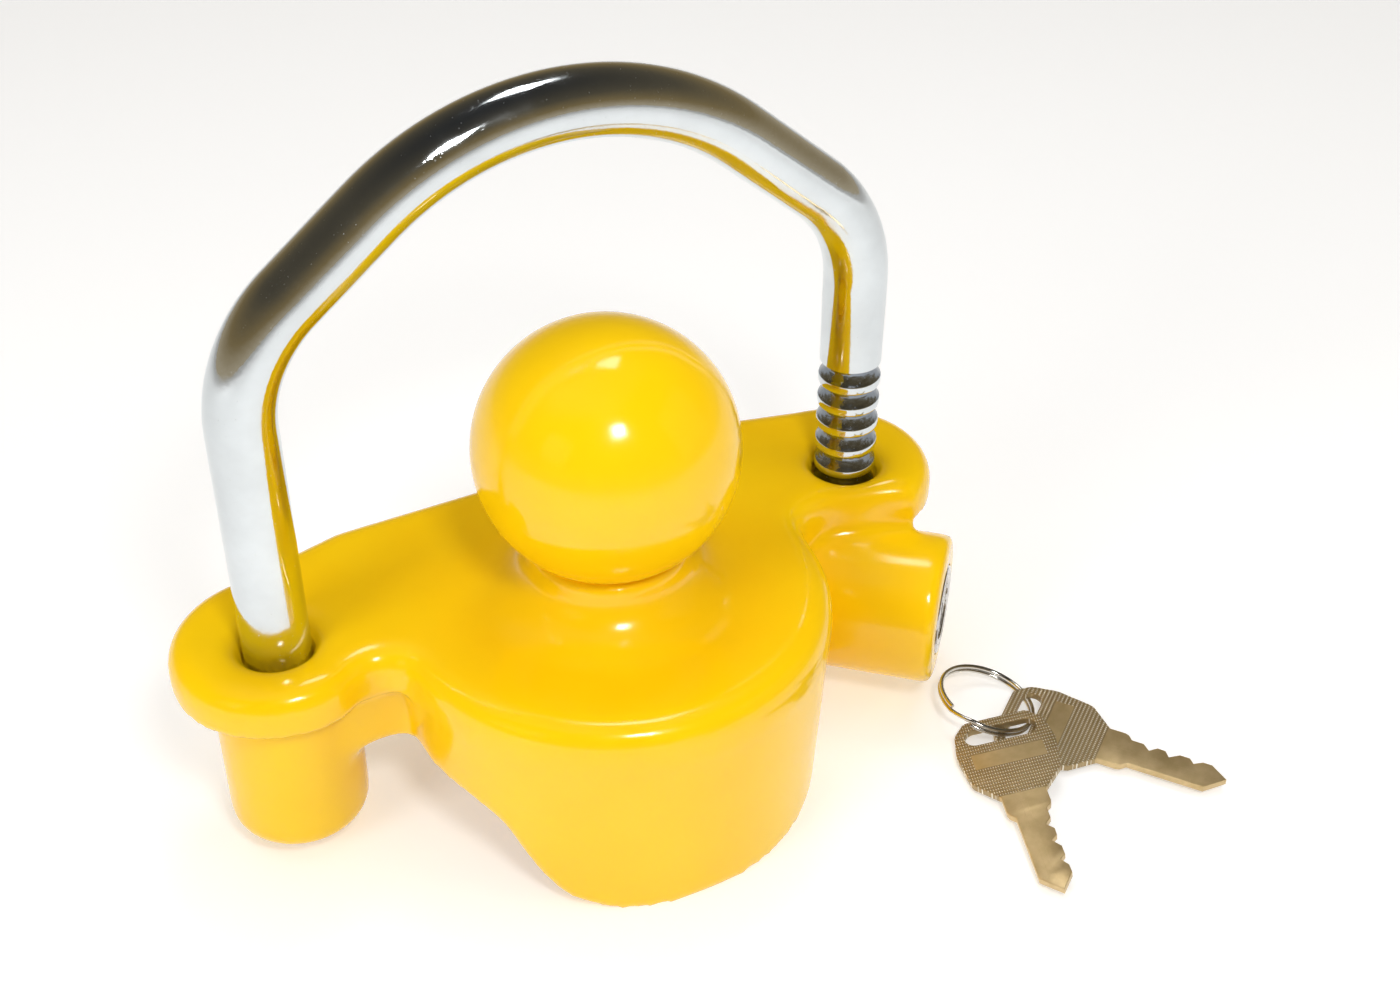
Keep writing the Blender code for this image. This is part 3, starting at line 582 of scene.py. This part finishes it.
def key_metal(name, matrix):
    """Warm nickel, hatched on the head only, with a polished bar across it, painted shade over the hatch and
    painted glints on its ridges.
    """
    made, tree, shader, place = new_material(name)
    own_place = {"Vector": place, "Rotation": matrix.to_3x3().inverted().to_euler(),
                 "Location": matrix.inverted().translation}
    turned = add_node(tree, "Mapping", own_place).outputs["Vector"]
    x, y, _ = add_node(tree, "SeparateXYZ", {"Vector": turned}).outputs
    hatch = maths(tree, "MULTIPLY", bands(tree, turned, 620.0, "X"), bands(tree, turned, 400.0, "Y"))
    on_head = maths(tree, "GREATER_THAN", y, HATCH_END / 1000)
    across_bar = maths(tree, "COMPARE", y, BAR_Y / 1000, BAR_HALF_WIDTH / 1000)
    along_bar = maths(tree, "COMPARE", x, 0.0, BAR_HALF_LENGTH / 1000)
    off_bar = maths(tree, "SUBTRACT", 1.0, maths(tree, "MULTIPLY", across_bar, along_bar))
    hatched = maths(tree, "MULTIPLY", on_head, off_bar)
    relief = maths(tree, "MULTIPLY", hatch, hatched)
    on_blade = maths(tree, "LESS_THAN", y, GROOVE_START / 1000)
    across_groove = maths(tree, "COMPARE", x, GROOVE_X / 1000, GROOVE_HALF_WIDTH / 1000)
    groove = maths(tree, "MULTIPLY", across_groove, on_blade)
    normal = bumped(tree, maths(tree, "SUBTRACT", relief, groove), 0.9, 0.0002)
    cloud = noise(tree, place, 220, 4, 0.6)
    nickel = ramp(tree, cloud, [(0.3, (0.52, 0.38, 0.18)), (0.7, (0.68, 0.52, 0.28))])
    # painted shade: the hatched head is darkened towards brown-black
    hatch_painted_shade = mixed(tree, maths(tree, "MULTIPLY", hatched, 0.45), nickel, (0.16, 0.11, 0.05, 1))
    # painted glints: the hatch's ridge tops are coloured near white
    painted_glints = ramp(tree, relief, [(0.35, grey(0)), (0.75, grey(1))])
    colour = mixed(tree, painted_glints, hatch_painted_shade, (1.0, 0.95, 0.82, 1))
    gloss = ramp(tree, cloud, [(0.3, grey(0.30)), (0.7, grey(0.42))])
    set_finish(tree, shader, colour, gloss, normal, metallic=0.7)
    return made


for node_name, (spot, heading, tilt, roll, body) in KEY_PLACES.items():
    axes = key_axes(spot, heading, tilt, roll)
    key_slot = arc((-SLOT_X, SLOT_Y), SLOT_R, 90, 270, 12) + arc((SLOT_X, SLOT_Y), SLOT_R, -90, 90, 12)
    key = outline_slab([key_outline(), key_slot], 0, KEY_THICK, axes, edge=0.16, edge_steps=2)
    key.name = node_name + "_stamped"
    shade_smooth(key, 35)
    key.data.materials.append(key_metal(node_name + "_nickel", axes))
    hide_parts(node_name)
    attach(key, body)


# ---- Split ring ----
# Spring wire wound into two turns that lie on each other and cross over where the ends meet.
RING_AT = (71.95, -37.41, 3.74)
RING_NORMAL = (0.280, -0.084, 1.0)
RING_R = 9.78
RING_WIRE_R = 0.46
RING_END = 215                  # degrees round the ring
RING_CROSSING = 30

lean = Vector((0, 0, 1)).rotation_difference(Vector(RING_NORMAL)).to_matrix()
ring_path = []
for step in range(0, 720 - RING_CROSSING + 1, 3):
    turn = math.radians(step + RING_END)
    rise = max(-1.0, min(1.0, (step - 360 + RING_CROSSING / 2) / (RING_CROSSING / 2)))
    spot = Vector((RING_R * math.cos(turn), RING_R * math.sin(turn), (RING_WIRE_R + 0.03) * rise))
    ring_path.append(Vector(RING_AT) + lean @ spot)
ring = wire("ring_wire", ring_path, RING_WIRE_R, rounding=5)
shade_smooth(ring, 50)
ring.data.materials.append(plating("ring_steel", (0.72, 0.70, 0.66), 0.12, speckle=0.2, pits=0.1))
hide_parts("key_ring")
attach(ring, "ring")


# ---- Hidden works ----
# Zinc-plated screws, washers, bolt, cam, clip, spring and pin, and sawn brass wafers.  They sit inside the
# casting, so they keep the frame's shapes and take only their finish here.
ZINC = plating("zinc", (0.62, 0.63, 0.66), 0.28, speckle=0.3, pits=0.3)


def sawn_brass():
    """Brass with the fine marks of the saw that cut the strip."""
    made, tree, shader, place = new_material("sawn_brass")
    cut = {"Vector": place, "Scale": 900.0, "Distortion": 3.0}
    grain = add_node(tree, "TexWave", cut, wave_type="BANDS").outputs["Fac"]
    colour = ramp(tree, grain, [(0.2, (0.60, 0.43, 0.17)), (0.8, (0.76, 0.60, 0.30))])
    gloss = ramp(tree, noise(tree, place, 300, 3), [(0.3, grey(0.3)), (0.7, grey(0.5))])
    set_finish(tree, shader, colour, gloss, bumped(tree, grain, 0.2, 0.0001), metallic=1.0)
    return made


BRASS = sawn_brass()
REBUILT = ("body_casting", "hitch_ball", "shackle", "lock_housing", "lock_plug", "key_1", "key_2",
           "key_ring")
for node_name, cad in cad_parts.items():
    if node_name in REBUILT:
        continue
    finish = BRASS if node_name.startswith("wafer") else ZINC
    cad.data.materials.clear()
    cad.data.materials.append(finish)


# ---- Floor, light and camera ----
# A plain pale floor that glows a little, under three big soft lamps that don't show in the chrome.  Two
# smaller lamps do: one by the camera and one high behind the object.
deselect()
bpy.ops.mesh.primitive_plane_add(size=6, location=(0, 0, 0))
floor = bpy.context.object
floor.name = "floor"
paper, _, shader, _ = new_material("paper")
shader.inputs["Base Color"].default_value = (0.74, 0.74, 0.74, 1)
shader.inputs["Roughness"].default_value = 0.7
shader.inputs["Emission Color"].default_value = (1, 1, 1, 1)
shader.inputs["Emission Strength"].default_value = 0.38
floor.data.materials.append(paper)


def lamp(name, size, power, spot, aim, mirrored=False):
    """A square soft lamp, placed and aimed in mm."""
    light = bpy.data.lights.new(name, "AREA")
    light.size = size
    light.energy = power
    made = bpy.data.objects.new(name, light)
    bpy.context.collection.objects.link(made)
    made.visible_glossy = mirrored
    made.location = at(*spot)
    made.rotation_euler = (at(*aim) - at(*spot)).to_track_quat("-Z", "Y").to_euler()


CAMERA_AT = (-117.3, -260.6, 264.3)
CAMERA_AZIMUTH = -28.83
CAMERA_ELEVATION = 36.34
CAMERA_ROLL = 0.43
CAMERA_LENS = 49.05
lamp("flash", 0.08, 0.9, (-60, -330, 420), (0, 0, 50), mirrored=True)
lamp("ceiling", 0.22, 1.1, (170, 260, 950), (0, 0, 40), mirrored=True)
lamp("left_box", 0.4, 4.0, (-900, -300, 500), (0, 0, 40))
lamp("right_box", 0.7, 3.0, (800, -500, 500), (0, 0, 40))
lamp("top_box", 1.0, 3.8, (-100, 100, 900), (0, 0, 40))

world = bpy.data.worlds.new("studio")
bpy.context.scene.world = world
world.use_nodes = True
sky_tree = world.node_tree
direction = sky_tree.nodes.new("ShaderNodeTexCoord").outputs["Generated"]
height = add_node(sky_tree, "SeparateXYZ", {"Vector": direction}).outputs["Z"]
sky = ramp(sky_tree, height, [(0.0, (0.42, 0.35, 0.24)), (0.25, (0.22, 0.16, 0.075)),
                              (0.6, (0.09, 0.075, 0.05)), (1.0, grey(0.03))])
sky_tree.links.new(sky, sky_tree.nodes["Background"].inputs["Color"])
sky_tree.nodes["Background"].inputs["Strength"].default_value = 1.0

azimuth, elevation = math.radians(CAMERA_AZIMUTH), math.radians(CAMERA_ELEVATION)
back = Vector((math.sin(azimuth) * math.cos(elevation), -math.cos(azimuth) * math.cos(elevation),
               math.sin(elevation)))
right = Vector((math.cos(azimuth), math.sin(azimuth), 0))
up = back.cross(right)
roll = math.radians(CAMERA_ROLL)
rolled_right = right * math.cos(roll) + up * math.sin(roll)
rolled_up = up * math.cos(roll) - right * math.sin(roll)
camera = bpy.data.objects.new("camera", bpy.data.cameras.new("camera"))
bpy.context.collection.objects.link(camera)
camera.matrix_world = (Matrix.Translation(at(*CAMERA_AT))
                       @ Matrix((rolled_right, rolled_up, back)).transposed().to_4x4())
camera.data.lens = CAMERA_LENS
camera.data.sensor_width = 36
camera.data.clip_start = 0.01
bpy.context.scene.camera = camera
bpy.context.scene.view_settings.view_transform = "Standard"
